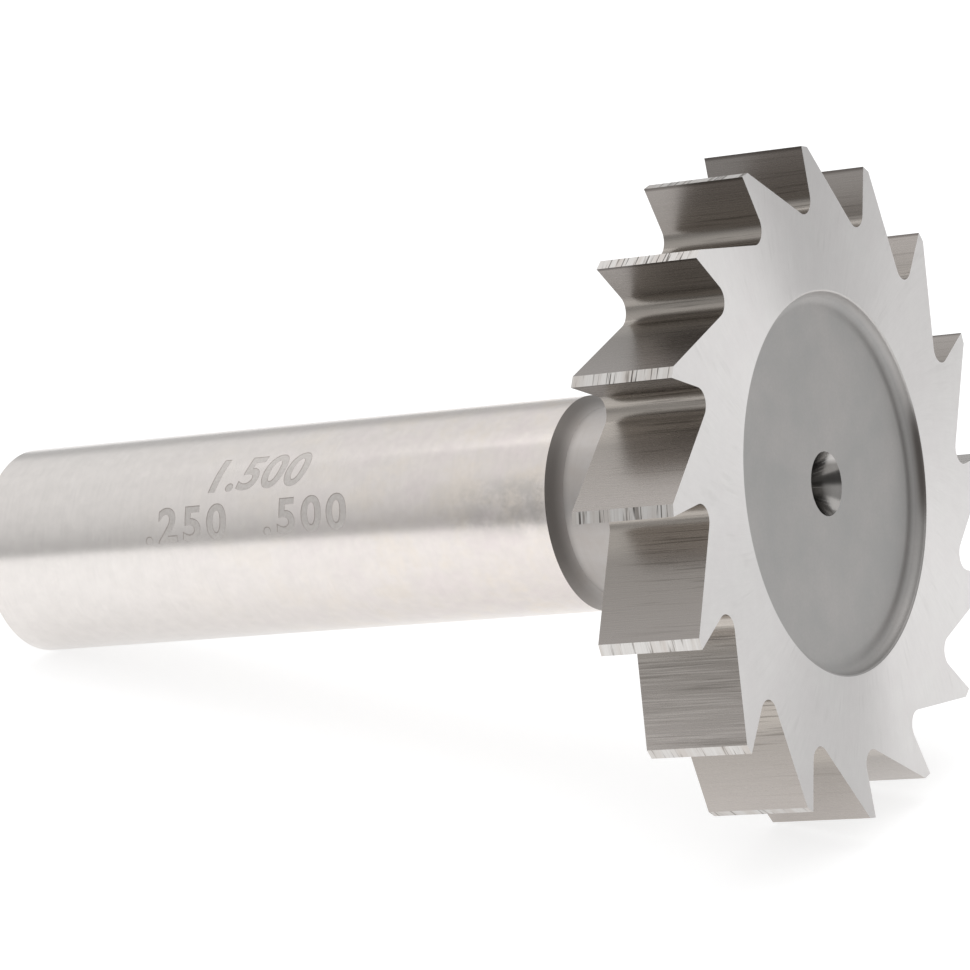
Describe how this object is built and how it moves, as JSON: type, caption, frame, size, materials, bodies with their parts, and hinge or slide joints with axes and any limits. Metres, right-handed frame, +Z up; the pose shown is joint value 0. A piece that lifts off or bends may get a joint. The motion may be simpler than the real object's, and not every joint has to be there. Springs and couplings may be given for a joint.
{
  "type": "woodruff keyseat cutter",
  "caption": "Disc-shaped milling cutter with straight sawtooth teeth on a necked straight shank, for cutting half-moon key pockets in shafts; it lies as it rests on a table.",
  "frame": {"origin": "on the resting surface, under the centre of the bounding box", "axes": "+Z up from the resting surface; the tool's axis lies in the XZ plane and rises 14.0 degrees from the shank's end towards the head; head towards +X"},
  "size_m": [0.0614, 0.0378, 0.0383],
  "materials": {
    "tool_steel": "satin ground, with finer ground lands and matte milled tooth spaces"
  },
  "bodies": {
    "root": {"keyseat_cutter": "tool_steel"}
  },
  "joints": []
}
